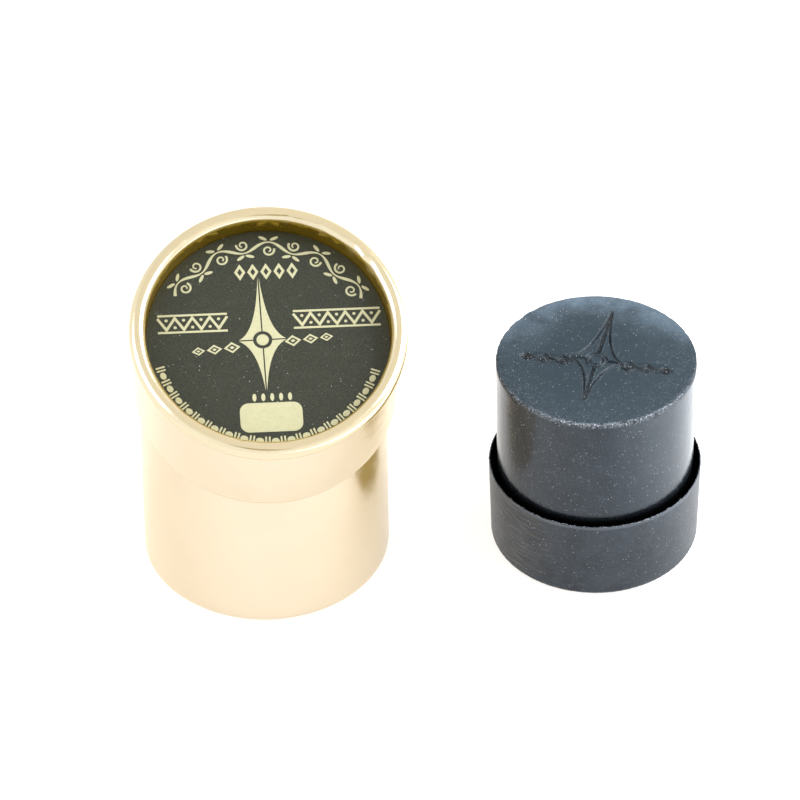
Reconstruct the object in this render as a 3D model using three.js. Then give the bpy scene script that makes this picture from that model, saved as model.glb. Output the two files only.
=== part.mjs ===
// A rosin cake for a string player's bow, standing in its moulded cup, beside the round tin it is
// kept in. The tin's slip-on lid lies askew across the open can.
// Millimetres, +Z up. The origin is on the table, under the middle of the whole object's box.
import * as THREE from 'three';

// Driving dimensions ---------------------------------------------------------------------------
const SEGMENTS = 60;            // facets round every turned piece
const TOUCH_GAP = 0.3;          // left between pieces that rest on each other
const SHEET = 0.5;              // thickness of the tin's aluminium

const CAN_RADIUS = 23.4;
const CAN_HEIGHT = 42.5;
const CAN_BASE_ROUND = 2.4;
const CAN_HEM_RADIUS = 0.75;    // the rim is curled inwards by half a turn

const LID_CLEARANCE = 0.85;     // between the can's wall and the inside of the lid's skirt
const LID_HEIGHT = 23.8;        // from the skirt's lower edge to the seam's crown
const LID_TILT = 23.5;          // degrees, dipping towards the front
const LID_LEAN = 2.7;           // degrees, dipping towards the cup
const LID_SHIFT = 0.5;          // towards the cup

const SEAM_OUTER_RADIUS = 25.9; // the rolled seam that joins the lid's end to its skirt
const SEAM_WIDTH = 3.1;
const SEAM_HEIGHT = 3.4;
const PANEL_DEPTH = 5.0;        // the end's flat panel lies this far below the crown
const PANEL_CORNER = 0.3;
const SKIRT_FLANGE = 0.5;       // the skirt's top edge turns out this far, inside the seam
const SKIRT_SETBACK = 1.3;      // from the seam's crown down to the skirt's top edge

const LABEL_RADIUS = 22.45;
const LABEL_THICKNESS = 0.3;

const CUP_HEIGHT = 17.4;
const CUP_BASE_RADIUS = 19.8;
const CUP_RIM_RADIUS = 20.25;
const CUP_WALL = 0.9;
const CUP_FLOOR = 1.2;
const CUP_BASE_ROUND = 1.0;

const CAKE_TOP_HEIGHT = 41.9;   // above the table, standing in the cup
const CAKE_TOP_RADIUS = 19.0;
const CAKE_NECK_RADIUS = 18.9; // under the low lip round the top face
const CAKE_BASE_RADIUS = 18.5;
const CAKE_LIP_HEIGHT = 3.2;
const CAKE_EDGE_ROUND = 0.5;

const CUP_OFFSET_X = 62.9;      // from the can's axis to the cup's
const CUP_OFFSET_Y = 3.9;       // the cup stands this much further back

// Profiles, as points (radius, height) -----------------------------------------------------------
const point = (radius, height) => new THREE.Vector2(radius, height);

// An arc about (radius, height), from one angle to another in degrees, in equal steps.
function arc(radius, height, size, from, to, steps) {
  const points = [];
  for (let i = 0; i <= steps; i++) {
    const angle = THREE.MathUtils.degToRad(from + ((to - from) * i) / steps);
    points.push(point(radius + size * Math.cos(angle), height + size * Math.sin(angle)));
  }
  return points;
}

// The line one sheet's thickness further in, on the left of its direction.
function innerLine(line) {
  return line.map((here, i) => {
    const before = line[i - 1] ?? here;
    const after = line[i + 1] ?? here;
    const arriving = here.clone().sub(before).normalize();
    const leaving = after.clone().sub(here).normalize();
    const along = arriving.clone().add(leaving).normalize();
    const miter = SHEET / Math.max(along.dot(arriving), along.dot(leaving));
    return point(here.x - along.y * miter, here.y + along.x * miter);
  });
}

// Turns a closed profile about the upright axis. Its points run up the outside and down the inside.
function turned(profile) {
  const geometry = new THREE.LatheGeometry(profile, SEGMENTS);
  return geometry.rotateX(Math.PI / 2);
}

// Turned sheet metal: the line is one face of the sheet, and the other lies on the line's left.
// The line starts or ends on the axis, and so the profile starts and ends there.
function turnedSheet(line) {
  const back = innerLine(line).reverse();
  const startsOnAxis = line[0].x === 0;
  return turned(startsOnAxis ? [...line, ...back] : [...back, ...line]);
}

// Pieces -----------------------------------------------------------------------------------------
// A drawn can with a rounded base corner and an inward hem.
function canGeometry() {
  const hemCentre = CAN_HEIGHT - CAN_HEM_RADIUS;
  return turnedSheet([
    point(0, 0),
    ...arc(CAN_RADIUS - CAN_BASE_ROUND, CAN_BASE_ROUND, CAN_BASE_ROUND, -90, 0, 5),
    ...arc(CAN_RADIUS - CAN_HEM_RADIUS, hemCentre, CAN_HEM_RADIUS, 0, 180, 6),
  ]);
}

const SKIRT_INNER = CAN_RADIUS + LID_CLEARANCE;
const SKIRT_OUTER = SKIRT_INNER + SHEET;
const CROWN_ROUND = SEAM_WIDTH / 2;
const CROWN_RADIUS = SEAM_OUTER_RADIUS - CROWN_ROUND;
const PANEL_HEIGHT = LID_HEIGHT - PANEL_DEPTH;

// The lid's straight skirt, with its top edge turned out to be held in the seam.
function lidSkirtGeometry() {
  const top = LID_HEIGHT - SKIRT_SETBACK;
  return turned([
    point(SKIRT_INNER, 0),
    point(SKIRT_OUTER, 0),
    point(SKIRT_OUTER, top - SHEET),
    point(SKIRT_OUTER + SKIRT_FLANGE, top - SHEET),
    point(SKIRT_OUTER + SKIRT_FLANGE, top),
    point(SKIRT_INNER, top),
    point(SKIRT_INNER, 0),
  ]);
}

// The lid's end: a sunk flat panel whose edge is rolled over the skirt's flange.
function lidEndGeometry() {
  const hemRound = SEAM_OUTER_RADIUS - SKIRT_OUTER - TOUCH_GAP;
  const hemCentre = LID_HEIGHT - SEAM_HEIGHT + hemRound;
  const wall = CROWN_RADIUS - CROWN_ROUND;
  const corner = PANEL_CORNER;
  return turnedSheet([
    ...arc(SEAM_OUTER_RADIUS - hemRound, hemCentre, hemRound, -90, 0, 3),
    ...arc(CROWN_RADIUS, LID_HEIGHT - CROWN_ROUND, CROWN_ROUND, 0, 180, 8),
    ...arc(wall - corner, PANEL_HEIGHT + corner, corner, 0, -90, 3),
    point(0, PANEL_HEIGHT),
  ]);
}

// The printed disc stuck in the sunk panel.
function labelGeometry() {
  const under = PANEL_HEIGHT + TOUCH_GAP;
  return turned([
    point(0, under),
    point(LABEL_RADIUS, under),
    point(LABEL_RADIUS, under + LABEL_THICKNESS),
    point(0, under + LABEL_THICKNESS),
  ]);
}

// A thin moulded cup with walls that open slightly upwards and a rounded base corner.
function cupGeometry() {
  const corner = CUP_BASE_ROUND;
  const lip = CUP_WALL / 2;
  return turned([
    point(0, 0),
    ...arc(CUP_BASE_RADIUS - corner, corner, corner, -90, 0, 4),
    ...arc(CUP_RIM_RADIUS - lip, CUP_HEIGHT - lip, lip, 0, 180, 4),
    point(CUP_BASE_RADIUS - CUP_WALL, CUP_FLOOR),
    point(0, CUP_FLOOR),
  ]);
}

// The cast cake: a slightly tapered plug that flares into a low lip under its flat top face.
function cakeGeometry() {
  const base = CUP_FLOOR + TOUCH_GAP;
  const edge = CAKE_EDGE_ROUND;
  return turned([
    point(0, base),
    point(CAKE_BASE_RADIUS - edge, base),
    point(CAKE_BASE_RADIUS, base + edge),
    point(CAKE_NECK_RADIUS, CAKE_TOP_HEIGHT - CAKE_LIP_HEIGHT),
    ...arc(CAKE_TOP_RADIUS - edge, CAKE_TOP_HEIGHT - edge, edge, 0, 90, 3),
    point(0, CAKE_TOP_HEIGHT),
  ]);
}

// Placing ----------------------------------------------------------------------------------------
// Where the askew lid comes to rest on the can. The front of its mouth hangs down against the
// can's front wall, and the mouth's sides lie across the rim.
function lidRestingPlace(turn) {
  const mouth = [];
  for (let degrees = 0; degrees < 360; degrees++) {
    const angle = THREE.MathUtils.degToRad(degrees);
    const edge = new THREE.Vector3(Math.cos(angle), Math.sin(angle), 0);
    mouth.push(edge.multiplyScalar(SKIRT_INNER).applyEuler(turn));
  }
  const front = Math.min(...mouth.map((edge) => edge.y));
  const y = -(CAN_RADIUS + TOUCH_GAP) - front;
  const reach = (edge) => Math.hypot(edge.x + LID_SHIFT, edge.y + y);
  const overRim = mouth.filter((edge) => edge.y > 0 && reach(edge) < CAN_RADIUS + TOUCH_GAP);
  const lowest = Math.min(...overRim.map((edge) => edge.z));
  return new THREE.Vector3(LID_SHIFT, y, CAN_HEIGHT + TOUCH_GAP - lowest);
}

function piece(name, geometry, color, roughness, metalness) {
  const material = new THREE.MeshStandardMaterial({ color, roughness, metalness });
  const mesh = new THREE.Mesh(geometry, material);
  mesh.name = name;
  return mesh;
}

const gold = [0xe6cf9c, 0.25, 1.0];
const lid = new THREE.Group();
lid.add(
  piece('lid_skirt', lidSkirtGeometry(), ...gold),
  piece('lid_end', lidEndGeometry(), ...gold),
  piece('label', labelGeometry(), 0x23231f, 0.6, 0.0),
);
lid.rotation.set(THREE.MathUtils.degToRad(LID_TILT), THREE.MathUtils.degToRad(LID_LEAN), 0);
lid.position.copy(lidRestingPlace(lid.rotation));

const cup = new THREE.Group();
cup.add(
  piece('cup', cupGeometry(), 0x26262a, 0.55, 0.0),
  piece('rosin_cake', cakeGeometry(), 0x3d434d, 0.4, 0.0),
);
cup.position.set(CUP_OFFSET_X, CUP_OFFSET_Y, 0);

const group = new THREE.Group();
group.add(piece('can', canGeometry(), ...gold), lid, cup);

// The origin goes to the middle of the base of the box round all the pieces.
const middle = new THREE.Box3().setFromObject(group, true).getCenter(new THREE.Vector3());
for (const part of group.children) {
  part.position.x -= middle.x;
  part.position.y -= middle.y;
}

export default group;
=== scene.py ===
# A rosin cake in its moulded cup beside the round gold tin it is kept in, the lid askew on the can.
# Outlines and ornament are written in millimetres and turned into metres as each mesh is made.
import math

import bpy
import numpy as np
from mathutils import Euler, Matrix, Vector, noise


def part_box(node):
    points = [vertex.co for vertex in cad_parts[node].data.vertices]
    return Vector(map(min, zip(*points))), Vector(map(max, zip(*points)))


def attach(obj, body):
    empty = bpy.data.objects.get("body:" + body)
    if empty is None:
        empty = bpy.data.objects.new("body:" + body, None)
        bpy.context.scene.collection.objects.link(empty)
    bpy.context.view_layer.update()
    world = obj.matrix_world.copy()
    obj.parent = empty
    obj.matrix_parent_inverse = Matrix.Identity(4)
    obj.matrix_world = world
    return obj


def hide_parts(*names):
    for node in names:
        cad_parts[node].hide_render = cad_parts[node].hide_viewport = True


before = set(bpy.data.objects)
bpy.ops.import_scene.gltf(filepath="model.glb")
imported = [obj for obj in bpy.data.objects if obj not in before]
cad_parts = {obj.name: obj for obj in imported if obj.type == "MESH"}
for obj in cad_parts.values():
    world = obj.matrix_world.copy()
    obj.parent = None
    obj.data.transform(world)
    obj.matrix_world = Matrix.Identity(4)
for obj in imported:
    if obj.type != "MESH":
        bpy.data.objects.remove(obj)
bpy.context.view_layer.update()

MM = 0.001
SHEET = 0.5               # thickness of the tin's aluminium

CAN_RADIUS = 23.4
CAN_HEIGHT = 42.5
CAN_BASE_ROUND = 2.4
CAN_HEM_RADIUS = 0.75

LID_HEIGHT = 23.8
LID_TILT = math.radians(23.5)
LID_LEAN = math.radians(2.7)
SKIRT_INNER = 24.25
SKIRT_OUTER = SKIRT_INNER + SHEET
SEAM_OUTER_RADIUS = 25.9
SEAM_WIDTH = 3.1
SEAM_HEIGHT = 3.4
PANEL_DEPTH = 5.0
PANEL_HEIGHT = LID_HEIGHT - PANEL_DEPTH
PANEL_CORNER = 0.2
SKIRT_TOP = LID_HEIGHT - 1.3          # the skirt ends here in the flange that the seam is rolled over
FLANGE_WIDTH = 0.45
LABEL_MIDDLE = PANEL_HEIGHT + 0.45    # height of the middle of the CAD label in the lid
LABEL_RADIUS = 22.72
LABEL_BOTTOM = PANEL_HEIGHT + 0.02
LABEL_TOP = LABEL_BOTTOM + 0.14
INK = 0.015                           # how far the print stands above the label

CUP_HEIGHT = 17.4
CUP_BASE_RADIUS = 19.8
CUP_RIM_RADIUS = 20.25
CUP_WALL = 0.9
CUP_RIM_WALL = 0.3          # the wall thins to this at the rim
CUP_RIM_TAPER = 3.0
CUP_FLOOR = 1.2
CUP_BASE_ROUND = 1.0

CAKE_TOP = 41.9
CAKE_BASE = 1.3
CAKE_TOP_RADIUS = 19.0
CAKE_NECK_RADIUS = 18.92
CAKE_BASE_RADIUS = 18.5
CAKE_LIP_HEIGHT = 3.2
CAKE_EDGE_ROUND = 0.22

OWN_PLACE = "own_place"   # each mesh keeps its points in its own upright frame, in millimetres
random = np.random.default_rng(20261118)


# Where the pieces stand ---------------------------------------------------------------------------
def middle_of(node):
    low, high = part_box(node)
    return (low + high) / 2 / MM


can_middle = middle_of("can")
can_place = Matrix.Translation((can_middle.x, can_middle.y, 0))
cup_middle = middle_of("cup")
cup_place = Matrix.Translation((cup_middle.x, cup_middle.y, 0))
lid_turn = Euler((LID_TILT, LID_LEAN, 0), "XYZ").to_matrix().to_4x4()
lid_mouth = middle_of("label") - lid_turn @ Vector((0, 0, LABEL_MIDDLE))
lid_place = Matrix.Translation(lid_mouth) @ lid_turn


# Meshes -------------------------------------------------------------------------------------------
def add_mesh(name, points, faces, place, smooth=True):
    """A mesh object from points in millimetres, set in place in the row frame."""
    points = np.asarray(points, float)
    turned = points @ np.array(place.to_3x3()).T + np.array(place.translation)
    mesh = bpy.data.meshes.new(name)
    mesh.from_pydata((turned * MM).tolist(), [], faces)
    own = mesh.attributes.new(OWN_PLACE, "FLOAT_VECTOR", "POINT")
    own.data.foreach_set("vector", points.ravel())
    if smooth:
        mesh.shade_smooth()
    piece = bpy.data.objects.new(name, mesh)
    bpy.context.scene.collection.objects.link(piece)
    return piece


def arc(radius, height, size, start, end, steps):
    """Points on an arc about (radius, height), from one angle to another in degrees."""
    angles = np.radians(np.linspace(start, end, steps + 1))
    return [(radius + size * math.cos(a), height + size * math.sin(a)) for a in angles]


def line(start, end, steps):
    """Evenly spaced points from start up to, but not including, end."""
    start, end = np.array(start, float), np.array(end, float)
    return [tuple(start + (end - start) * i / steps) for i in range(steps)]


def inner_line(points, thickness=SHEET):
    """The other face of a sheet, on the left of the line's direction."""
    points = np.array(points, float)
    steps = np.diff(points, axis=0)
    steps /= np.linalg.norm(steps, axis=1)[:, None]
    arriving = np.vstack([steps[:1], steps])
    leaving = np.vstack([steps, steps[-1:]])
    along = arriving + leaving
    along /= np.linalg.norm(along, axis=1)[:, None]
    miter = thickness / (along * arriving).sum(1)
    inside = points + np.stack([-along[:, 1], along[:, 0]], 1) * miter[:, None]
    return [tuple(p) for p in inside]


def with_supports(profile, margin=0.2):
    """Adds a point near both ends of each long straight stretch, so that it shades flat."""
    result = [profile[0]]
    for here, after in zip(profile, profile[1:]):
        here, after = np.array(here), np.array(after)
        length = np.linalg.norm(after - here)
        if length > 4 * margin:
            step = (after - here) * margin / length
            result += [tuple(here + step), tuple(after - step)]
        result.append(tuple(after))
    return result


def turned_piece(name, profile, place, segments=240, shape=None):
    """Turns a profile about the upright axis. It runs up the outside and down the inside, and
    starts and ends on the axis or closes on itself. shape moves the finished points."""
    closed = profile[0][0] > 0
    if closed:
        profile = profile[:-1]
    angles = np.linspace(0, 2 * math.pi, segments, endpoint=False)
    ring = np.stack([np.cos(angles), np.sin(angles)], 1)
    points, starts, sizes = [], [], []
    for radius, height in profile:
        starts.append(len(points))
        sizes.append(segments if radius > 1e-6 else 1)
        for x, y in ring if radius > 1e-6 else ring[:1]:
            points.append((radius * x, radius * y, height))
    faces = []
    pairs = list(zip(range(len(profile) - 1), range(1, len(profile))))
    if closed:
        pairs.append((len(profile) - 1, 0))
    for low, high in pairs:
        for i in range(segments):
            after = (i + 1) % segments
            corners = [starts[low] + i, starts[low] + after, starts[high] + after, starts[high] + i]
            if sizes[low] == 1:
                corners = [starts[low], corners[2], corners[3]]
            elif sizes[high] == 1:
                corners = [corners[0], corners[1], starts[high]]
            faces.append(corners)
    points = np.array(points, float)
    if shape:
        points = shape(points)
    return add_mesh(name, points, faces, place)


def noise_at(points, scale, seed=0.0):
    """Smooth noise from -1 to 1 at each point; scale is in features per millimetre."""
    offset = Vector((seed, 2.3 * seed, 5.1 * seed))
    return np.array([noise.noise(Vector(p) * scale + offset) for p in points])


# The tin ------------------------------------------------------------------------------------------
def make_can():
    outside = [(0, 0)]
    outside += arc(CAN_RADIUS - CAN_BASE_ROUND, CAN_BASE_ROUND, CAN_BASE_ROUND, -90, 0, 14)
    outside += arc(CAN_RADIUS - CAN_HEM_RADIUS, CAN_HEIGHT - CAN_HEM_RADIUS, CAN_HEM_RADIUS, 0, 180, 16)
    outside = with_supports(outside)

    def hand_worn(points):
        """The thin wall is a few hundredths of a millimetre out of round."""
        sideways = 0.05 * noise_at(points, 0.06, seed=3.0)
        points[:, :2] *= (1 + sideways / CAN_RADIUS)[:, None]
        return points

    return turned_piece("can_shell", outside + inner_line(outside)[::-1], can_place, 300, hand_worn)


def make_lid_skirt():
    edge = SHEET / 2
    flange = SKIRT_OUTER + FLANGE_WIDTH
    profile = arc(SKIRT_INNER + edge, edge, edge, -180, 0, 8)
    profile += [(SKIRT_OUTER, SKIRT_TOP - SHEET), (flange, SKIRT_TOP - SHEET)]
    profile += [(flange, SKIRT_TOP), (SKIRT_INNER, SKIRT_TOP)]
    profile = with_supports(profile + profile[:1])
    return turned_piece("lid_skirt_tube", profile, lid_place, 300)


SEAM_DENTS = [   # angle round the lid and half-width in degrees, depth in millimetres
    (36, 4.0, 0.18), (42, 2.2, -0.12), (49, 3.5, 0.15), (66, 3.0, 0.10), (83, 2.0, 0.08),
    (118, 6.0, 0.06), (-28, 5.0, 0.06), (-101, 1.6, 0.10), (-131, 3.0, 0.05), (171, 5.0, 0.05),
]


def dent_seam(points):
    """Small knocks in the inner half of the seam and the upper part of the sunk wall."""
    angle = np.degrees(np.arctan2(points[:, 1], points[:, 0]))
    radius = np.hypot(points[:, 0], points[:, 1])
    height = points[:, 2]
    crown = SEAM_OUTER_RADIUS - SEAM_WIDTH / 2
    inner = np.clip((crown + 0.3 - radius) / 1.2, 0, 1)
    inner *= np.clip((height - PANEL_HEIGHT - 1) / 2, 0, 1)
    for where, half_width, depth in SEAM_DENTS:
        away = (angle - where + 180) % 360 - 180
        pushed = depth * inner * np.exp(-((away / half_width) ** 2))
        points[:, :2] *= (1 + pushed / np.maximum(radius, 1))[:, None]
        points[:, 2] -= 0.5 * pushed
    points[:, 2] += 0.03 * inner * noise_at(points, 0.16, seed=9.0)
    return points


def make_lid_end():
    hem = SEAM_OUTER_RADIUS - SKIRT_OUTER - 0.1
    crown = SEAM_WIDTH / 2
    wall = SEAM_OUTER_RADIUS - SEAM_WIDTH
    outside = arc(SEAM_OUTER_RADIUS - hem, LID_HEIGHT - SEAM_HEIGHT + hem, hem, -90, 0, 8)
    outside += arc(SEAM_OUTER_RADIUS - crown, LID_HEIGHT - crown, crown, 0, 180, 28)
    outside += arc(wall - PANEL_CORNER, PANEL_HEIGHT + PANEL_CORNER, PANEL_CORNER, 0, -90, 6)
    outside = with_supports(outside + [(0, PANEL_HEIGHT)])
    profile = inner_line(outside)[::-1] + outside
    return turned_piece("lid_end_panel", profile, lid_place, 360, dent_seam)


def make_label():
    edge = 0.05
    profile = [(0, LABEL_BOTTOM), (LABEL_RADIUS, LABEL_BOTTOM)]
    profile += arc(LABEL_RADIUS - edge, LABEL_TOP - edge, edge, 0, 90, 4) + [(0, LABEL_TOP)]
    return turned_piece("label_disc", with_supports(profile, 0.1), lid_place, 240)


# Flat ornament ------------------------------------------------------------------------------------
# Each shape is (points, faces) in the plane. All of it is plain pattern, with no lettering.
def rotated(points, degrees, about=(0, 0)):
    angle = math.radians(degrees)
    turn = np.array([[math.cos(angle), math.sin(angle)], [-math.sin(angle), math.cos(angle)]])
    return np.asarray(points, float) @ turn + np.array(about)


def polygon(points):
    return list(points), [list(range(len(points)))]


def band(outer, inner):
    """The area between two outlines with the same number of points."""
    count = len(outer)
    faces = [[i, (i + 1) % count, count + (i + 1) % count, count + i] for i in range(count)]
    return list(outer) + list(inner), faces


def stroke(points, widths):
    """A drawn line of varying width."""
    points = np.array(points, float)
    along = np.gradient(points, axis=0)
    along /= np.linalg.norm(along, axis=1)[:, None]
    side = np.stack([-along[:, 1], along[:, 0]], 1) * np.reshape(widths, (-1, 1)) / 2
    count = len(points)
    faces = [[i, i + 1, count + i + 1, count + i] for i in range(count - 1)]
    return list(points - side) + list(points + side), faces


def mitred_stroke(points, width):
    """A drawn line with square corners."""
    left = np.array(inner_line(points, width / 2))
    right = 2 * np.array(points, float) - left
    count = len(points)
    faces = [[i, i + 1, count + i + 1, count + i] for i in range(count - 1)]
    return list(right) + list(left), faces


def ellipse(width, height, about=(0, 0), degrees=0, steps=20):
    angles = np.linspace(0, 2 * math.pi, steps, endpoint=False)
    points = np.stack([width / 2 * np.cos(angles), height / 2 * np.sin(angles)], 1)
    return rotated(points, degrees, about)


def lozenge(width, height, about=(0, 0), degrees=0):
    points = [(width / 2, 0), (0, height / 2), (-width / 2, 0), (0, -height / 2)]
    return rotated(points, degrees, about)


def rounded_rectangle(width, height, corner, about, degrees):
    points = []
    for x, y, start in ((1, 1, 0), (-1, 1, 90), (-1, -1, 180), (1, -1, 270)):
        middle_x, middle_y = x * (width / 2 - corner), y * (height / 2 - corner)
        points += arc(middle_x, middle_y, corner, start, start + 90, 6)
    return rotated(points, degrees, about)


STAR_ABOVE = 13.0         # from the middle of the star to its upper and lower tips
STAR_BELOW = 10.6
STAR_SIDE = 4.4
STAR_HOLE = 1.8
ARM_DROP = 0.9            # the arms cross a little below the middle of the star
ARM_LOZENGES = [(5.7, 3.1, 2.3), (9.0, 2.9, 2.0), (12.0, 2.5, 1.7)]   # distance, length, height


def star_blade(across, up, slit=0.13):
    """One of the star's four blades: a concave edge, cut off by the round hole in the middle."""
    tip = np.array([slit, STAR_ABOVE if up > 0 else STAR_BELOW])
    side, waist = np.array([STAR_SIDE, slit]), np.array([1.0, 1.7])
    t = np.linspace(0, 1, 15)[:, None]
    edge = tip * (1 - t) ** 2 + 2 * waist * t * (1 - t) + side * t ** 2
    start = math.degrees(math.asin(slit / STAR_HOLE))
    points = [tuple(p) for p in edge] + arc(0, 0, STAR_HOLE, start, 90 - start, 8)
    points = [(across * x, up * y) for x, y in points]
    return points if across * up < 0 else points[::-1]


def star_outlines(star_turn):
    blades = [rotated(star_blade(a, b), star_turn) for a in (1, -1) for b in (1, -1)]
    return blades + [ellipse(2.3, 2.3)]


def arm_outlines(arm_turn):
    outlines = []
    for distance, length, height in ARM_LOZENGES:
        for side in (1, -1):
            about = rotated([(side * distance, 0)], arm_turn, (0, -ARM_DROP))[0]
            outlines.append(lozenge(length, height, about, arm_turn))
    return outlines


def shrunk(outline, share):
    middle = outline.mean(0)
    return middle + (outline - middle) * share


def chevron_band(length, height, chevrons, about, degrees):
    """Two rails with a zigzag between them and a dot in each of its bays."""
    rail, gap = 0.42, 0.32
    reach = height / 2 - rail - gap
    pitch = length / chevrons
    shapes = []
    for side in (1, -1):
        middle = rotated([(0, side * (height - rail) / 2)], degrees, about)[0]
        shapes.append(polygon(rounded_rectangle(length, rail, 0.1, middle, degrees)))
    zigzag = [(-length / 2 + i * pitch / 2, -reach if i % 2 else reach) for i in range(2 * chevrons + 1)]
    shapes.append(mitred_stroke(rotated(zigzag, degrees, about), 0.5))
    for i in range(1, 2 * chevrons):
        dot = (-length / 2 + i * pitch / 2, (0.62 if i % 2 else -0.62) * reach)
        shapes.append(polygon(ellipse(0.6, 0.6, rotated([dot], degrees, about)[0], 0, 12)))
    return shapes


def on_circle(radius, degrees):
    return radius * math.cos(math.radians(degrees)), radius * math.sin(math.radians(degrees))


def vine(radius, start, end, waves):
    """A waving stem along an arc, with a curl in each of its hollows and a leaf on each crest."""
    shapes = []
    t = np.linspace(0, 1, 24 * waves)
    angles = np.radians(start + (end - start) * t)
    reach = radius + 0.95 * np.sin(math.pi * waves * t)
    stem = np.stack([reach * np.cos(angles), reach * np.sin(angles)], 1)
    shapes.append(stroke(stem, 0.42 + 0.16 * np.cos(2 * math.pi * waves * t)))
    for i in range(waves):
        middle = start + (end - start) * (i + 0.5) / waves
        side = 1 if i % 2 else -1
        centre = on_circle(radius + 0.75 * side, middle)
        turn = np.linspace(0, 1, 30)
        spin = math.radians(middle) + math.pi * (0.4 + 2.5 * turn) * side
        size = 1.15 - 0.85 * turn
        curl = np.stack([centre[0] + size * np.cos(spin), centre[1] + size * np.sin(spin)], 1)
        shapes.append(stroke(curl, 0.42 - 0.16 * turn))
        for lean in (-1, 1):
            leaf = on_circle(radius - 1.75 * side, middle + 2.9 * lean)
            shapes.append(polygon(ellipse(1.7, 0.62, leaf, middle - 90 + 24 * lean * side, 12)))
    return shapes


def bead_and_reel(radius, start, end, count):
    shapes = []
    for i in range(count):
        middle = start + (end - start) * (i + 0.5) / count
        if i % 2:
            shapes.append(polygon(ellipse(1.5, 1.15, on_circle(radius, middle), middle - 90, 14)))
            continue
        for shift in (-0.9, 0.9):
            about = on_circle(radius, middle + shift)
            shapes.append(polygon(rounded_rectangle(0.34, 1.75, 0.12, about, middle - 90)))
    return shapes


VINE_RADIUS = 19.4
BORDER_RADIUS = 20.9
PRINT_TILT = 4.3          # degrees the rows of the print are turned
PRINT_STAR_TURN = 5
PRINT_ARM_TURN = 9
PRINT_STAR_MIDDLE = np.array([-1.0, -0.1])
ROW_COUNT = 5             # ornaments in each of the two short rows
LOZENGE_ROW = (-4.9, 14.2, 2.45)      # first place across and up, and the step across
DROP_ROW = (-3.1, -11.9, 1.65)
BLANK_PANEL = (11.6, 6.0, 1.7)        # length, height, corner
BLANK_PANEL_MIDDLE = (0.95, -16.0)


def row_places(row, shift):
    """The middles of the ornaments in a short row."""
    across, up, step = row
    return [rotated([(across + step * i, up)], PRINT_TILT, (shift, 0))[0] for i in range(ROW_COUNT)]


def label_shapes():
    shapes = vine(VINE_RADIUS, 154, 28, 9)
    for about in row_places(LOZENGE_ROW, 0.4):
        outline = lozenge(2.1, 3.4, about, PRINT_TILT)
        shapes.append(band(outline, lozenge(0.95, 1.55, about, PRINT_TILT)))
    shapes += chevron_band(13.0, 3.9, 4, (-14.1, 2.9), PRINT_TILT)
    shapes += chevron_band(16.2, 3.9, 5, (12.7, 4.9), PRINT_TILT)
    shapes += [polygon(outline + PRINT_STAR_MIDDLE) for outline in star_outlines(PRINT_STAR_TURN)]
    for outline in arm_outlines(PRINT_ARM_TURN):
        outer, inner = outline + PRINT_STAR_MIDDLE, shrunk(outline, 0.62) + PRINT_STAR_MIDDLE
        shapes.append(band(outer, inner))
        shapes.append(polygon(shrunk(outline, 0.3) + PRINT_STAR_MIDDLE))
    for about in row_places(DROP_ROW, -0.1):
        shapes.append(polygon(ellipse(0.75, 1.6, about, PRINT_TILT, 14)))
    shapes.append(polygon(rounded_rectangle(*BLANK_PANEL, BLANK_PANEL_MIDDLE, PRINT_TILT)))
    return shapes + bead_and_reel(BORDER_RADIUS, 197, 345, 37)


def make_inlay(name, shapes, bottom, top, place):
    """Raises flat shapes into thin solid prints."""
    points, faces = [], []
    for flat, flat_faces in shapes:
        first, count = len(points), len(flat)
        points += [(x, y, top) for x, y in flat] + [(x, y, bottom) for x, y in flat]
        edges = {}
        for face in flat_faces:
            faces.append([first + i for i in face])
            faces.append([first + count + i for i in reversed(face)])
            for here, after in zip(face, face[1:] + face[:1]):
                edges[(here, after)] = True
        for here, after in edges:
            if (after, here) not in edges:
                above = [first + after, first + here]
                faces.append(above + [first + count + here, first + count + after])
    return add_mesh(name, points, faces, place, smooth=False)


# The cup and the cake -----------------------------------------------------------------------------
RAGGED_BAND = 0.6         # the rim's flaws fade out this far below it
UNEVEN_BAND = 1.2         # and the base edge's this far above the table


def hand_moulded(points):
    """A rim that isn't quite level or round, with a ragged flash along its edge."""
    height = np.clip(points[:, 2] / CUP_HEIGHT, 0, 1)
    points[:, :2] *= (1 + 0.006 * height * noise_at(points, 0.05, seed=4.0))[:, None]
    at_rim = np.clip((points[:, 2] - CUP_HEIGHT + RAGGED_BAND) / RAGGED_BAND, 0, 1)
    points[:, 2] += at_rim * 0.12 * noise_at(points, 0.12, seed=8.0)
    flash = np.maximum(0, noise_at(points, 0.8, seed=13.0) - 0.45)
    ragged = 0.07 * noise_at(points, 1.6, seed=11.0) + 0.5 * flash
    points[:, :2] *= (1 + at_rim * ragged / CUP_RIM_RADIUS)[:, None]
    points[:, 2] += 0.6 * at_rim * ragged
    at_base = np.clip((UNEVEN_BAND - points[:, 2]) / UNEVEN_BAND, 0, 1) * (height > 0)
    points[:, :2] *= (1 + 0.004 * at_base * noise_at(points, 1.2, seed=15.0))[:, None]
    return points


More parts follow.
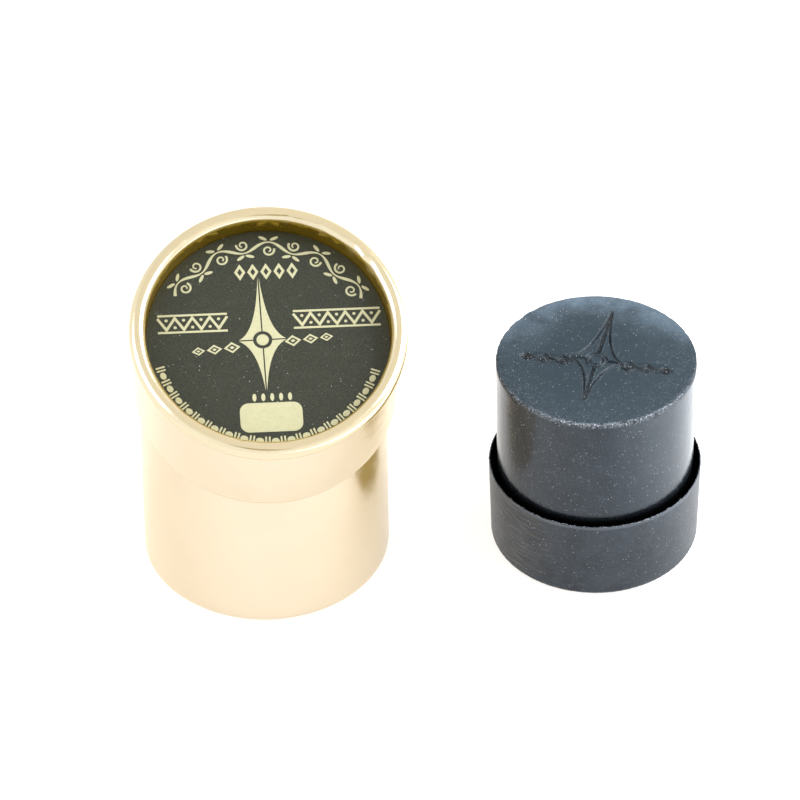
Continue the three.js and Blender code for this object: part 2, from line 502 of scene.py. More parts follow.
def make_cup():
    lean = math.degrees(math.atan2(CUP_RIM_RADIUS - CUP_BASE_RADIUS, CUP_HEIGHT))
    edge = CUP_RIM_WALL / 2
    corner = 0.5
    floor_radius = CUP_BASE_RADIUS - CUP_WALL
    rim_middle = CUP_RIM_RADIUS - edge
    side_start = (CUP_BASE_RADIUS, CUP_BASE_ROUND)
    side_end = (CUP_RIM_RADIUS, CUP_HEIGHT - edge)
    taper_top = (CUP_RIM_RADIUS - CUP_RIM_WALL, CUP_HEIGHT - edge)
    taper_foot = (CUP_RIM_RADIUS - CUP_WALL, CUP_HEIGHT - CUP_RIM_TAPER)
    profile = [(0, 0)] + line((2, 0), (CUP_BASE_RADIUS - CUP_BASE_ROUND, 0), 12)
    profile += arc(CUP_BASE_RADIUS - CUP_BASE_ROUND, CUP_BASE_ROUND, CUP_BASE_ROUND, -90, -lean, 8)
    profile += line(side_start, side_end, 40)[1:]
    profile += arc(rim_middle, CUP_HEIGHT - edge, edge, -lean, 180, 8)
    profile += line(taper_top, taper_foot, 10)[1:]
    profile += line(taper_foot, (floor_radius, CUP_FLOOR + corner), 16)
    profile += arc(floor_radius - corner, CUP_FLOOR + corner, corner, 0, -90, 6)
    profile += [(0, CUP_FLOOR)]
    return turned_piece("cup_shell", profile, cup_place, 480, hand_moulded)


def distance_to_outlines(points, outlines):
    nearest = np.full(len(points), np.inf)
    for outline in outlines:
        for start, end in zip(outline, np.roll(outline, -1, axis=0)):
            along = end - start
            share = np.clip((points - start) @ along / (along @ along), 0, 1)
            away = points - start - share[:, None] * along
            nearest = np.minimum(nearest, (away ** 2).sum(1))
    return np.sqrt(nearest)


ENGRAVING_DEPTH = 0.5
ENGRAVING_WIDTH = 0.18
ENGRAVING_SIZE = 1.1      # the engraving is this much larger than the print on the lid
ARM_TURN = -10            # degrees the engraved arms and star are turned
STAR_TURN = -13.5
TROUGH_START = 4.4        # a shallow trough along the arms, from and to these distances
TROUGH_END = 14.2
TROUGH_HALF_WIDTH = 1.5
LOST_AT_EDGE = 0.7        # how much of the brittle edge is chipped away at most


def engraving_outlines():
    arms = arm_outlines(ARM_TURN)
    outlines = star_outlines(STAR_TURN) + arms + [shrunk(outline, 0.45) for outline in arms]
    return [outline * ENGRAVING_SIZE for outline in outlines]


def engraved_and_chipped(points):
    """Cuts the ornament into the cake's top, chips its brittle upper edge and waves its side."""
    radius = np.hypot(points[:, 0], points[:, 1])
    on_top = (points[:, 2] > CAKE_TOP - 0.01) & (radius < CAKE_TOP_RADIUS - 1.5)
    away = distance_to_outlines(points[on_top, :2], engraving_outlines())
    cut = ENGRAVING_DEPTH * np.exp(-((away / ENGRAVING_WIDTH) ** 2))
    burr = 0.12 * np.exp(-(((away - 2.0 * ENGRAVING_WIDTH) / 0.14) ** 2))
    uneven = 0.75 + 0.25 * noise_at(points[on_top], 0.5, seed=21.0)
    level = rotated(points[on_top, :2], -ARM_TURN)
    along, across = np.abs(level[:, 0]), np.abs(level[:, 1] + ARM_DROP * ENGRAVING_SIZE)
    trough = np.clip((TROUGH_HALF_WIDTH - across) / 0.3, 0, 1)
    trough *= np.clip((TROUGH_END - along) / 0.4, 0, 1) * np.clip((along - TROUGH_START) / 0.4, 0, 1)
    cut += trough * (0.22 + 0.12 * noise_at(points[on_top], 1.3, seed=25.0))
    points[on_top, 2] -= (cut - burr) * uneven
    points[on_top, 2] += 0.012 * noise_at(points[on_top], 1.1, seed=23.0)

    to_front = 0.55 - 0.45 * points[:, 1] / np.maximum(radius, 1)
    edge = np.exp(-(((radius - CAKE_TOP_RADIUS) / 0.55) ** 2))
    edge *= np.exp(-(((points[:, 2] - CAKE_TOP) / 0.6) ** 2))
    chips = np.maximum(0, noise_at(points, 0.75, seed=31.0) - 0.05)
    chips += 0.5 * np.abs(noise_at(points, 2.2, seed=33.0))
    lost = LOST_AT_EDGE * edge * chips * to_front
    points[:, :2] *= (1 - lost / np.maximum(radius, 1))[:, None]
    points[:, 2] -= 0.8 * lost

    side = (radius > CAKE_BASE_RADIUS - 0.6) & (points[:, 2] < CAKE_TOP - 0.5)
    swell = 0.05 * noise_at(points[side] * (1, 1, 0.3), 0.12, seed=41.0)
    swell += 0.012 * noise_at(points[side], 1.4, seed=43.0)
    points[side, :2] *= (1 + swell / CAKE_TOP_RADIUS)[:, None]
    return points


def make_cake():
    neck = CAKE_TOP - CAKE_LIP_HEIGHT
    lean = math.degrees(math.atan2(CAKE_NECK_RADIUS - CAKE_BASE_RADIUS, neck - CAKE_BASE))
    corner = 0.5
    rim = (CAKE_TOP_RADIUS, CAKE_TOP - CAKE_EDGE_ROUND)
    profile = [(0, CAKE_BASE)] + line((3, CAKE_BASE), (CAKE_BASE_RADIUS - corner, CAKE_BASE), 4)
    profile += arc(CAKE_BASE_RADIUS - corner, CAKE_BASE + corner, corner, -90, -lean, 5)
    profile += line((CAKE_BASE_RADIUS, CAKE_BASE + corner), (CAKE_NECK_RADIUS, neck), 30)[1:]
    profile += line((CAKE_NECK_RADIUS, neck), rim, 12)
    profile += arc(rim[0] - CAKE_EDGE_ROUND, rim[1], CAKE_EDGE_ROUND, 0, 90, 6)
    profile += line((rim[0] - CAKE_EDGE_ROUND, CAKE_TOP), (0, CAKE_TOP), 138)[1:] + [(0, CAKE_TOP)]
    return turned_piece("cake_body", profile, cup_place, 480, engraved_and_chipped)


# Crumbs and dust ----------------------------------------------------------------------------------
FRAGMENT = np.array([(1, 0, 0), (-1, 0, 0), (0, 1, 0), (0, -1, 0), (0, 0, 1), (0, 0, -1)], float)
FRAGMENT_FACES = [
    (4, 0, 2), (4, 2, 1), (4, 1, 3), (4, 3, 0), (5, 2, 0), (5, 1, 2), (5, 3, 1), (5, 0, 3),
]


def make_crumbs(name, spots, place, shape=None):
    """Sharp little fragments. Each spot is (where, outward direction, size), and shape is what
    moved the surface that they lie on."""
    centres = np.array([where for where, _, _ in spots], float)
    if shape:
        centres = shape(centres)
    points, faces = [], []
    for centre, (_, outward, size) in zip(centres, spots):
        chip = FRAGMENT * random.uniform(0.45, 1.0, (6, 1)) * size / 2
        turn = Euler(random.uniform(0, 2 * math.pi, 3)).to_matrix()
        chip = chip @ np.array(turn).T
        outward = np.array(outward, float)
        chip -= 0.35 * (chip @ outward)[:, None] * outward
        first = len(points)
        points += list(chip + centre + outward * size * 0.12)
        faces += [[first + i for i in face] for face in FRAGMENT_FACES]
    return add_mesh(name, points, faces, place, smooth=False)


EDGE_CRUMBS = 900         # along the cake's upper edge
TOP_CRUMBS = 650          # over its top
CUT_CRUMBS = 2.2          # beside each millimetre of the engraving
SIDE_CRUMBS = 520         # on its side
RIM_CRUMBS = 420          # on the cup's rim
CUP_CRUMBS = 420          # on the cup's outside
FOOT_CRUMBS = 80          # in one patch at the cup's foot
FOOT_PATCH = -52          # degrees round the cup
LABEL_CRUMBS = 230


def crumb_size(smallest, largest):
    """Mostly near the smallest size, in millimetres."""
    return smallest + (largest - smallest) * random.random() ** 3.2


def around_front(spread):
    """An angle in degrees, gathered about the front of the object."""
    return -90 + random.normal(0, spread)


def cake_crumb_spots():
    spots = []
    for _ in range(EDGE_CRUMBS):
        angle = around_front(38) if random.random() < 0.75 else random.uniform(0, 360)
        x, y = on_circle(1, angle)
        drop = abs(random.normal(0, 0.45))
        inward = abs(random.normal(0, 0.3)) if random.random() < 0.6 else 0.0
        radius = CAKE_TOP_RADIUS - 0.12 - inward
        height = CAKE_TOP - 0.12 - (0 if inward else drop)
        spots.append(((radius * x, radius * y, height), (0.6 * x, 0.6 * y, 0.8), crumb_size(0.08, 0.34)))
    for _ in range(TOP_CRUMBS):
        radius = 18.6 * random.random() ** 0.35
        x, y = on_circle(radius, random.uniform(0, 360))
        spots.append(((x, y, CAKE_TOP), (0, 0, 1), crumb_size(0.06, 0.18)))
    for outline in engraving_outlines():
        for start, end in zip(outline, np.roll(outline, -1, axis=0)):
            length = np.linalg.norm(end - start)
            for _ in range(random.poisson(CUT_CRUMBS * length)):
                x, y = start + (end - start) * random.random() + random.normal(0, 0.3, 2)
                spots.append(((x, y, CAKE_TOP), (0, 0, 1), crumb_size(0.06, 0.2)))
    for _ in range(SIDE_CRUMBS):
        height = random.uniform(CUP_HEIGHT + 1.5, CAKE_TOP - 0.5)
        share = (height - CAKE_BASE) / (CAKE_TOP - CAKE_LIP_HEIGHT - CAKE_BASE)
        radius = CAKE_BASE_RADIUS + (CAKE_NECK_RADIUS - CAKE_BASE_RADIUS) * min(1, share)
        x, y = on_circle(1, random.uniform(0, 360))
        spots.append(((radius * x, radius * y, height), (x, y, 0), crumb_size(0.06, 0.22)))
    return spots


def cup_crumb_spots():
    spots = []
    for _ in range(RIM_CRUMBS):
        angle = around_front(50) if random.random() < 0.6 else random.uniform(0, 360)
        x, y = on_circle(1, angle)
        radius = CUP_RIM_RADIUS - random.uniform(0.02, CUP_RIM_WALL)
        spots.append(((radius * x, radius * y, CUP_HEIGHT), (0, 0, 1), crumb_size(0.08, 0.34)))
    for _ in range(CUP_CRUMBS):
        height = random.uniform(0.8, CUP_HEIGHT - 0.3)
        radius = CUP_BASE_RADIUS + (CUP_RIM_RADIUS - CUP_BASE_RADIUS) * height / CUP_HEIGHT
        x, y = on_circle(1, random.uniform(0, 360))
        spots.append(((radius * x, radius * y, height), (x, y, 0), crumb_size(0.06, 0.2)))
    for _ in range(FOOT_CRUMBS):
        x, y = on_circle(1, FOOT_PATCH + random.normal(0, 10))
        radius = CUP_BASE_RADIUS - 0.12
        spots.append(((radius * x, radius * y, random.uniform(0.35, 0.9)), (x, y, 0), crumb_size(0.12, 0.4)))
    return spots


def lid_dust_spots():
    spots = []
    for _ in range(LABEL_CRUMBS):
        radius = (LABEL_RADIUS - 0.3) * math.sqrt(random.random())
        x, y = on_circle(radius, random.uniform(0, 360))
        spots.append(((x, y, LABEL_TOP + INK), (0, 0, 1), crumb_size(0.05, 0.2)))
    return spots


# Materials ----------------------------------------------------------------------------------------
def colour(red, green, blue):
    """A screen colour, 0 to 255, as the linear colour that the shaders take."""
    parts = [part / 255 for part in (red, green, blue)]
    return tuple(p / 12.92 if p <= 0.04045 else ((p + 0.055) / 1.055) ** 2.4 for p in parts) + (1,)


class Nodes:
    """Adds shader nodes to one tree and joins them up."""

    def __init__(self, tree):
        self.tree = tree

    def node(self, kind, inputs=(), **settings):
        node = self.tree.nodes.new("ShaderNode" + kind)
        for name, value in settings.items():
            setattr(node, name, value)
        for socket, value in dict(inputs).items():
            if isinstance(value, bpy.types.NodeSocket):
                self.tree.links.new(value, node.inputs[socket])
            else:
                node.inputs[socket].default_value = value
        return node

    def maths(self, operation, first, second):
        return self.node("Math", {0: first, 1: second}, operation=operation).outputs[0]

    def both(self, first, second):
        return self.maths("MULTIPLY", first, second)

    def spread(self, value, low, high, start=0.0, end=1.0, **settings):
        """Turns low..high into start..end, and holds it at both ends."""
        inputs = {"Value": value, "From Min": low, "From Max": high, "To Min": start, "To Max": end}
        return self.node("MapRange", inputs, **settings).outputs["Result"]


class Look(Nodes):
    """A Principled material built up from nodes, on each mesh's own coordinates in millimetres."""

    def __init__(self, name, **values):
        self.material = bpy.data.materials.new(name)
        self.material.use_nodes = True
        super().__init__(self.material.node_tree)
        self.shader = self.tree.nodes["Principled BSDF"]
        for socket, value in values.items():
            self.shader.inputs[socket.replace("_", " ")].default_value = value
        self.place = self.node("Attribute", attribute_name=OWN_PLACE).outputs["Vector"]
        self.normal = None

    def set(self, socket, value):
        self.tree.links.new(value, self.shader.inputs[socket])

    def scaled(self, stretch):
        inputs = {0: self.place, 1: stretch}
        return self.node("VectorMath", inputs, operation="MULTIPLY").outputs[0]

    def finish_with(self, shader):
        self.tree.links.new(shader, self.tree.nodes["Material Output"].inputs["Surface"])

    def noise(self, scale, detail=2.0, roughness=0.5, stretch=(1, 1, 1)):
        inputs = {"Vector": self.scaled(stretch), "Scale": scale, "Detail": detail, "Roughness": roughness}
        return self.node("TexNoise", inputs).outputs["Fac"]

    def cells(self, scale):
        inputs = {"Vector": self.place, "Scale": scale, "Randomness": 1.0}
        return self.node("TexVoronoi", inputs).outputs["Distance"]

    def mix(self, share, first, second):
        node = self.node("Mix", data_type="RGBA")
        for socket, value in zip((0, 6, 7), (share, first, second)):
            if isinstance(value, bpy.types.NodeSocket):
                self.tree.links.new(value, node.inputs[socket])
            else:
                node.inputs[socket].default_value = value
        return node.outputs[2]

    def bump(self, height, millimetres, strength=1.0):
        inputs = {"Height": height, "Distance": millimetres * MM, "Strength": strength}
        if self.normal:
            inputs["Normal"] = self.normal
        self.normal = self.node("Bump", inputs).outputs["Normal"]
        self.set("Normal", self.normal)

    def specks(self, scale, size, patchiness, rarest=0.5):
        """Sparse little spots, 1 inside and 0 outside, gathered in patches."""
        spots = self.spread(self.cells(scale), size, size * 0.7)
        return self.both(spots, self.spread(self.noise(patchiness, 3), rarest, rarest + 0.12))

    def around(self):
        """Distance round the piece from its front, and height, for marks that follow the wall."""
        parts = self.node("SeparateXYZ", {0: self.place}).outputs
        angle = self.maths("ARCTAN2", parts["X"], self.maths("MULTIPLY", parts["Y"], -1.0))
        inputs = {"X": self.both(angle, CAKE_TOP_RADIUS), "Y": parts["Z"]}
        return self.node("CombineXYZ", inputs).outputs[0]

    def along(self, axis):
        return self.node("SeparateXYZ", {0: self.place}).outputs[axis]

    def height(self):
        return self.along("Z")

    def radius(self):
        flat = self.scaled((1, 1, 0))
        return self.node("VectorMath", {0: flat}, operation="LENGTH").outputs["Value"]


# Each look's colours, as the shaders take them; a few are painted shade, as marked.
METAL, METAL_DULL, METAL_PITS = (0.64, 0.61, 0.57, 1), (0.61, 0.58, 0.535, 1), (0.56, 0.52, 0.46, 1)
# Painted shade: the second colour on the next line and the last dye colour on the line after darken the sunk
# wall under the lid's seam.
METAL_OF_END, METAL_RECESS_SHADE = (0.52, 0.54, 0.43, 1), (0.56, 0.40, 0.05, 1)
DYE, DYE_DULL, DYE_RECESS_SHADE = (0.74, 0.49, 0.10, 1), (0.68, 0.44, 0.09, 1), (0.22, 0.13, 0.004, 1)
PRINT_GREY, PRINT_BLACK = (0.042, 0.045, 0.026, 1), (0.003, 0.004, 0.001, 1)
INK_PALE, INK_DULL, INK_WORN = (0.43, 0.415, 0.255, 1), (0.38, 0.365, 0.22, 1), colour(120, 118, 88)
RUBBER_GREY, RUBBER_BLACK = (0.014, 0.018, 0.025, 1), (0.001, 0.002, 0.004, 1)
SCRAPED_RUBBER = colour(150, 136, 114)
ROSIN_SIDE, ROSIN_SIDE_DARK = (0.012, 0.017, 0.024, 1), (0.001, 0.003, 0.006, 1)
ROSIN_TOP, ROSIN_TOP_DARK = (0.012, 0.024, 0.033, 1), (0.004, 0.013, 0.020, 1)
ROSIN_HAZE, ROSIN_BLOOM, ROSIN_POWDER = colour(90, 98, 108), colour(104, 122, 138), colour(196, 202, 212)
# Painted shade in the cuts of the cake's top.
ROSIN_CUT_SHADE = (0.002, 0.003, 0.004, 1)
# Painted shade: this black stands for the shade inside the cup and in the gap round the cake.
GAP_SHADE_BLACK = (0.001, 0.001, 0.001, 1)
PAPER_DUST, PAPER_SPECK = colour(200, 204, 196), colour(225, 228, 222)
DUST_WHITE, DUST_GREY = colour(226, 230, 236), colour(168, 176, 188)
DYE_SHARE = 0.25          # how much of the tin's surface scatters light in its golden dye


def gold_metal(name, recess_shade_inside=None):
    """Champagne anodised aluminium: satin, faintly pitted, with smudges and hair scratches, and
    partly a golden dye that scatters light. When a radius is given, the metal is half a more olive
    tone, and within that radius metal and dye are painted dark as painted shade on the sunk wall."""
    look = Look(name, Metallic=1.0)
    cloud = look.noise(0.11, 3)
    smudge = look.spread(look.noise(0.35, 4, 0.6), 0.42, 0.7)
    grain = look.noise(9.0, 2, 0.6)
    base = look.mix(cloud, METAL, METAL_DULL)
    base = look.mix(look.spread(grain, 0.35, 0.7, 0, 0.3), base, METAL_PITS)
    dye = look.mix(cloud, DYE, DYE_DULL)
    if recess_shade_inside:
        # Painted shade: inside the given radius the sunk wall under the seam is painted dark olive gold.
        recess_shade = look.spread(look.radius(), recess_shade_inside, recess_shade_inside - 0.2)
        base = look.mix(0.5, base, METAL_OF_END)
        base = look.mix(recess_shade, base, METAL_RECESS_SHADE)
        dye = look.mix(recess_shade, dye, DYE_RECESS_SHADE)
    look.set("Base Color", base)
    hairs = look.spread(look.noise(1.0, 1, 0.5, (0.9, 0.9, 26)), 0.62, 0.7)
    roughness = look.maths("ADD", look.spread(smudge, 0, 1, 0.15, 0.24), look.both(hairs, 0.06))
    look.set("Roughness", roughness)
    look.bump(grain, 0.005)
    look.bump(look.noise(1.1, 2), 0.005)
    look.bump(hairs, 0.001)
    matt = look.node("BsdfDiffuse", {"Color": dye, "Normal": look.normal}).outputs[0]
    look.finish_with(look.node("MixShader", {0: DYE_SHARE, 1: look.shader.outputs[0], 2: matt}).outputs[0])
    return look.material


def label_black():
    """The label's matt black printing, olive in the light, with paper grain and dust."""
    look = Look("label_black", IOR=1.42)
    grain = look.noise(7.0, 3, 0.65)
    base = look.mix(look.spread(grain, 0.38, 0.68), PRINT_BLACK, PRINT_GREY)
    base = look.mix(look.both(look.specks(2.6, 0.15, 0.3, 0.56), 0.5), base, PAPER_DUST)
    base = look.mix(look.both(look.specks(1.1, 0.08, 0.6, 0.52), 0.9), base, PAPER_SPECK)
    look.set("Base Color", base)
    look.set("Roughness", look.spread(look.noise(0.5, 4), 0.35, 0.7, 0.42, 0.56))
    look.bump(grain, 0.02, 0.5)
    return look.material


def label_ink():
    """Pale yellow ink, a little mottled and worn."""
    look = Look("label_ink", IOR=1.45)
    mottle = look.noise(1.3, 4, 0.6)
    base = look.mix(look.spread(mottle, 0.3, 0.75), INK_PALE, INK_DULL)
    worn = look.spread(look.noise(5.0, 3, 0.7), 0.66, 0.74)
    base = look.mix(look.both(worn, 0.5), base, INK_WORN)
    look.set("Base Color", base)
    look.set("Roughness", look.spread(mottle, 0.3, 0.7, 0.4, 0.6))
    look.bump(look.noise(7.0, 3, 0.65), 0.015, 0.5)
    return look.material


def dusted(look, base):
    """Three sizes of pale specks over a base colour."""
    for scale, size, patches, rarest, strength, shade in (
        (1.3, 0.09, 0.5, 0.47, 0.9, DUST_WHITE),
        (2.4, 0.14, 0.9, 0.53, 0.7, DUST_WHITE),
        (4.0, 0.19, 0.45, 0.54, 0.5, DUST_GREY),
    ):
        spots = look.specks(scale, size, patches, rarest)
        base = look.mix(look.both(spots, strength), base, shade)
    return base


def cup_rubber():
    """Black moulded rubber, greyed by rosin dust and scraped slantwise on its left, and painted black inside
    as painted shade in the gap round the cake.
    """
    look = Look("cup_rubber", IOR=1.5, Specular_Tint=(0.78, 0.89, 1.0, 1))
    cloud = look.noise(0.16, 3)
    grain = look.noise(3.5, 4, 0.65)
    lean = look.both(look.height(), (CUP_RIM_RADIUS - CUP_BASE_RADIUS) / CUP_HEIGHT)
    outward = look.maths("SUBTRACT", look.radius(), lean)
    outside = look.spread(outward, CUP_BASE_RADIUS - 0.25, CUP_BASE_RADIUS - 0.15)
    outside = look.maths("MAXIMUM", outside, look.spread(look.height(), CUP_FLOOR - 0.05, CUP_FLOOR - 0.2))
    rim = look.both(outside, look.spread(look.height(), CUP_HEIGHT - 0.8, CUP_HEIGHT - 0.3))
    slant = look.node("Mapping", {0: look.around(), "Rotation": (0, 0, 0.6), "Scale": (0.3, 6.5, 1)})
    scrapes = look.node("TexNoise", {"Vector": slant.outputs[0], "Scale": 0.7, "Detail": 4}).outputs["Fac"]
    to_left = look.spread(look.along("X"), -5.0, -16.0)
    scrapes = look.both(look.spread(scrapes, 0.5, 0.68), look.both(to_left, outside))
    base = look.mix(look.spread(cloud, 0.3, 0.7), RUBBER_BLACK, RUBBER_GREY)
    base = look.mix(look.both(scrapes, 0.3), base, SCRAPED_RUBBER)
    base = look.mix(look.both(rim, 0.12), base, DUST_GREY)
    fine = look.spread(look.noise(5.5, 2, 0.7), 0.5, 0.74)
    base = look.mix(look.both(fine, look.both(outside, 0.09)), base, DUST_GREY)
    # Painted shade: all but the outside and the base is painted black, for the shade inside the cup.
    base = look.mix(outside, GAP_SHADE_BLACK, dusted(look, base))
    look.set("Base Color", base)
    look.set("Roughness", look.spread(grain, 0.3, 0.7, 0.34, 0.48))
    look.bump(grain, 0.03, 0.6)
    look.bump(scrapes, 0.04, 0.7)
    return look.material


def rosin():
    """Dark slate rosin. Its cast side is glassy and its cut top is dulled by its own dust. Its side within
    the cup and the cuts in its top are darkened with painted shade.
    """
    look = Look("rosin_slate", IOR=1.47, Specular_Tint=(0.8, 0.9, 1.0, 1))
    on_top = look.spread(look.height(), CAKE_TOP - 0.9, CAKE_TOP - 0.55)
    cloud = look.noise(0.14, 4, 0.55)
    grain = look.noise(4.0, 4, 0.65)
    to_back = look.spread(look.along("Y"), 0.0, 15.0)
    outer = look.spread(look.radius(), 10, 18.5)
    bloom = look.both(to_back, look.both(outer, look.spread(cloud, 0.34, 0.6)))
    fine = look.both(look.spread(look.noise(6.0, 2, 0.7), 0.56, 0.72), look.spread(look.radius(), 8, 18))
    side = look.mix(look.noise(0.35, 3), ROSIN_SIDE_DARK, ROSIN_SIDE)
    side = look.mix(look.both(look.spread(cloud, 0.45, 0.75), 0.05), side, ROSIN_HAZE)
    side = look.mix(look.both(look.spread(look.noise(5.0, 2, 0.7), 0.5, 0.75), 0.08), side, DUST_GREY)
    top = look.mix(grain, ROSIN_TOP_DARK, ROSIN_TOP)
    top = look.mix(look.both(bloom, 0.6), top, ROSIN_BLOOM)
    top = look.mix(look.both(fine, 0.28), top, DUST_GREY)
    # Painted shade: the top turns near black from 0.1 mm to 0.3 mm below its level, in the engraving, the
    # trough and the chips.
    cut_shade = look.spread(look.height(), CAKE_TOP - 0.1, CAKE_TOP - 0.3)
    base = look.mix(on_top, side, look.mix(cut_shade, top, ROSIN_CUT_SHADE))
    front = look.spread(look.along("Y"), -4.0, -17.0)
    at_edge = look.both(look.spread(look.height(), CAKE_TOP - 1.1, CAKE_TOP - 0.2),
                        look.spread(look.radius(), CAKE_TOP_RADIUS - 0.8, CAKE_TOP_RADIUS - 0.3))
    powder = look.both(look.spread(look.noise(3.4, 5, 0.8), 0.5, 0.6), look.both(front, at_edge))
    base = look.mix(look.both(powder, 0.8), base, ROSIN_POWDER)
    # Painted shade: the side is painted black below the cup's rim and fades back over 2.5 mm above it, for
    # the shade in the gap between cake and cup.
    out_of_gap_shade = look.spread(look.height(), CUP_HEIGHT, CUP_HEIGHT + 2.5)
    look.set("Base Color", look.mix(out_of_gap_shade, GAP_SHADE_BLACK, dusted(look, base)))
    side_roughness = look.spread(look.noise(0.5, 4), 0.3, 0.7, 0.13, 0.22)
    top_roughness = look.spread(grain, 0.3, 0.7, 0.4, 0.56)
    roughness = look.node("Mix", {0: on_top, 2: side_roughness, 3: top_roughness}).outputs[0]
    look.set("Roughness", roughness)
    look.bump(grain, 0.02, 0.5)
    look.bump(look.noise(1.2, 3), 0.03, 0.4)
    return look.material


def crumb_material(name, pale, dull):
    """Powdered rosin: chips that shine pale where they are cracked."""
    look = Look(name, IOR=1.52)
    shade = look.noise(2.5, 3)
    look.set("Base Color", look.mix(look.spread(shade, 0.35, 0.65), dull, pale))
    look.set("Roughness", look.spread(shade, 0.3, 0.7, 0.25, 0.6))
    look.bump(look.noise(14.0, 2), 0.01, 0.5)
    return look.material


# Putting it together ------------------------------------------------------------------------------
def add_piece(piece, material, body, slot, *stands_for):
    piece.data.materials.append(material)
    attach(piece, body)
    if stands_for:
        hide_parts(*stands_for)


def make_object():
    metal = gold_metal("champagne_metal")
    # Painted shade: this copy darkens the sunk wall inside the given radius.
    shaded_sunk_metal = gold_metal("champagne_metal_sunk_shaded", SEAM_OUTER_RADIUS - SEAM_WIDTH + 0.25)
    black = label_black()
    ink = label_ink()
    rubber = cup_rubber()
    slate = rosin()
    cracked = crumb_material("rosin_crumbs", colour(215, 222, 232), colour(104, 112, 124))
    dust = crumb_material("lid_dust", colour(228, 230, 226), colour(120, 124, 112))
    add_piece(make_can(), metal, "tin", "tin_metal", "can")
    add_piece(make_lid_skirt(), metal, "lid", "tin_metal", "lid_skirt")
    add_piece(make_lid_end(), shaded_sunk_metal, "lid", "tin_metal", "lid_end")
    add_piece(make_label(), black, "lid", "label_print", "label")
    print_foot = LABEL_TOP - INK
    print_top = LABEL_TOP + INK
    label_print = make_inlay("label_ornament", label_shapes(), print_foot, print_top, lid_place)
    add_piece(label_print, ink, "lid", "label_print")
    add_piece(make_crumbs("lid_dust", lid_dust_spots(), lid_place), dust, "lid", "label_print")
    add_piece(make_cup(), rubber, "cup", "cup_rubber", "cup")
    cup_crumbs = make_crumbs("cup_crumbs", cup_crumb_spots(), cup_place, hand_moulded)
    add_piece(cup_crumbs, cracked, "cup", "rosin")
    add_piece(make_cake(), slate, "cake", "rosin", "rosin_cake")
    cake_crumbs = make_crumbs("cake_crumbs", cake_crumb_spots(), cup_place, engraved_and_chipped)
    add_piece(cake_crumbs, cracked, "cake", "rosin")


# Studio -------------------------------------------------------------------------------------------
FLOOR_GREY = (0.42, 0.42, 0.42, 1)
FLOOR_REACH = 3000
FLOOR_DROP = 0.03         # the floor lies this far under the pieces, so that no two faces coincide
FLOOR_GLOW = 0.8
RIGHT_LIGHT_POOL = 1.2    # painted pool of light, added to the floor's glow at the right of the view
# Painted light: a golden tint for light bounced from the tin, and a cooler tint for the pool of light at the
# right.
TIN_BOUNCE_TINT = (1.0, 0.94, 0.88, 1)
RIGHT_POOL_TINT = (0.9, 0.95, 1.0, 1)
SKY_COLOUR = (0.985, 0.995, 1.0, 1)
SKY_GLOW = 1.05
SIDE_GLOW = 0.3
FRONT_GLOW = 0.4
CAMERA_SHADE = 0.8        # how much of the light is lost where the photographer stands
CAMERA_PITCH = math.radians(40.455)
CAMERA_ROLL = math.radians(-0.537)
CAMERA_DISTANCE = 1320.4
CAMERA_AIM = Vector((-3.6, 4.2, 36.4))


def make_floor():
    """A white table that glows a little, golden about the tin as painted light bounced from it, and cooler
    and brighter to the right as a painted pool of light.
    """
    look = Look("studio_floor", Roughness=0.9)
    look.shader.inputs["Base Color"].default_value = FLOOR_GREY
    look.shader.inputs["Specular IOR Level"].default_value = 0.0
    across = look.along("X")
    # Painted light: the glow is golden at the left as bounce from the tin, and brighter and cooler at the
    # right as a pool of light.
    look.set("Emission Color", look.mix(look.spread(across, 10, 80), TIN_BOUNCE_TINT, RIGHT_POOL_TINT))
    look.set("Emission Strength", look.spread(across, 40, 82, FLOOR_GLOW, FLOOR_GLOW + RIGHT_LIGHT_POOL))
    turns = ((-1, -1), (1, -1), (1, 1), (-1, 1))
    corners = [(FLOOR_REACH * x, FLOOR_REACH * y, -FLOOR_DROP) for x, y in turns]
    floor = add_mesh("studio_floor", corners, [[0, 1, 2, 3]], Matrix.Identity(4), smooth=False)
    floor.data.materials.append(look.material)


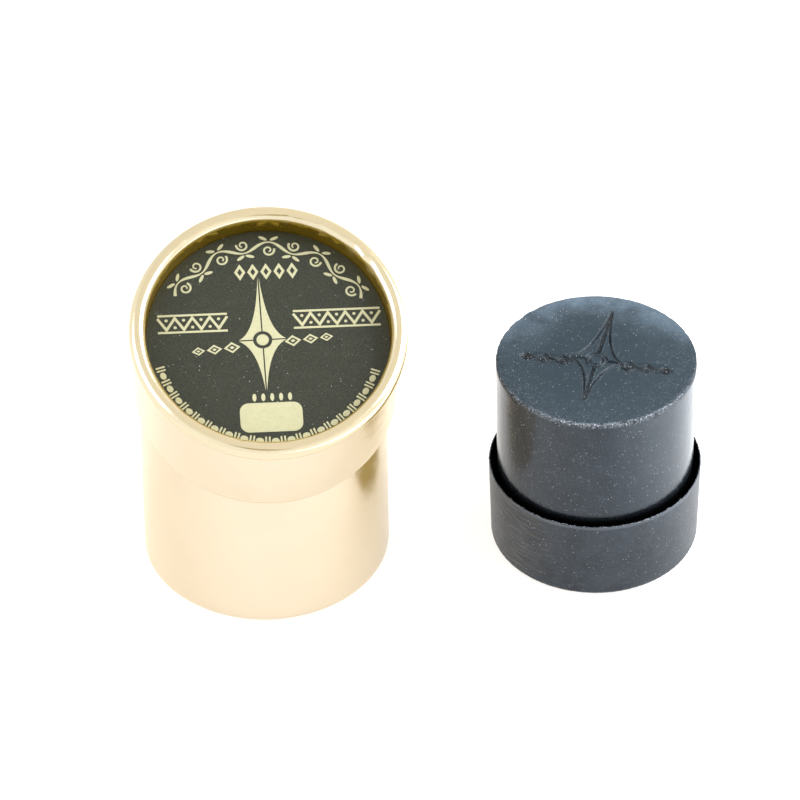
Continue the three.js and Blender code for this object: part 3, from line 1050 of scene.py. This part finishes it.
def make_surroundings():
    """Soft light from all round: even overhead and behind, brighter from both sides and the front,
    and dark where the photographer stands."""
    world = bpy.data.worlds.new("soft_studio")
    world.use_nodes = True
    bpy.context.scene.world = world
    sky = Nodes(world.node_tree)
    direction = sky.node("TexCoord").outputs["Generated"]
    parts = sky.node("SeparateXYZ", {0: direction}).outputs
    sideways = sky.maths("ABSOLUTE", parts["X"], 0.0)
    forward = sky.maths("MULTIPLY", parts["Y"], -1.0)
    smooth = {"interpolation_type": "SMOOTHSTEP"}
    strength = sky.maths("ADD", SKY_GLOW, sky.spread(sideways, 0.3, 0.85, 0, SIDE_GLOW, **smooth))
    strength = sky.maths("ADD", strength, sky.spread(forward, 0.4, 0.85, 0, FRONT_GLOW, **smooth))
    camera_way = (0, -math.cos(CAMERA_PITCH), math.sin(CAMERA_PITCH))
    to_camera = sky.node("VectorMath", {0: direction, 1: camera_way}, operation="DOT_PRODUCT")
    outer, inner = math.cos(math.radians(14)), math.cos(math.radians(8))
    shade = sky.spread(to_camera.outputs["Value"], outer, inner, 0, CAMERA_SHADE, **smooth)
    strength = sky.both(strength, sky.maths("SUBTRACT", 1.0, shade))
    background = sky.tree.nodes["Background"].inputs
    sky.tree.links.new(strength, background["Strength"])
    background["Color"].default_value = SKY_COLOUR


def make_light(name, place, target, size, watts):
    """A square softbox aimed at a point. Its place, target and size are in metres."""
    light = bpy.data.lights.new(name, "AREA")
    light.size = size
    light.energy = watts
    lamp = bpy.data.objects.new(name, light)
    bpy.context.scene.collection.objects.link(lamp)
    lamp.location = place
    lamp.rotation_euler = (Vector(target) - Vector(place)).to_track_quat("-Z", "Y").to_euler()


def make_camera():
    lens = bpy.data.cameras.new("camera")
    lens.lens = 315          # millimetres, on a sensor 36 mm wide
    lens.sensor_width = 36
    lens.clip_start = 0.05
    camera = bpy.data.objects.new("camera", lens)
    bpy.context.scene.collection.objects.link(camera)
    turn = Matrix.Rotation(math.pi / 2 - CAMERA_PITCH, 4, "X") @ Matrix.Rotation(CAMERA_ROLL, 4, "Z")
    backward = Vector((0, -math.cos(CAMERA_PITCH), math.sin(CAMERA_PITCH)))
    place = (CAMERA_AIM + backward * CAMERA_DISTANCE) * MM
    camera.matrix_world = Matrix.Translation(place) @ turn
    bpy.context.scene.camera = camera


make_camera()
make_object()
make_floor()
make_surroundings()
make_light("right_softbox", (0.42, 0.05, 0.35), (0.14, 0, 0), 0.4, 4.0)
make_light("left_softbox", (-0.55, -0.1, 0.4), (-0.16, 0, 0), 0.4, 2.5)
bpy.context.scene.view_settings.view_transform = "Standard"
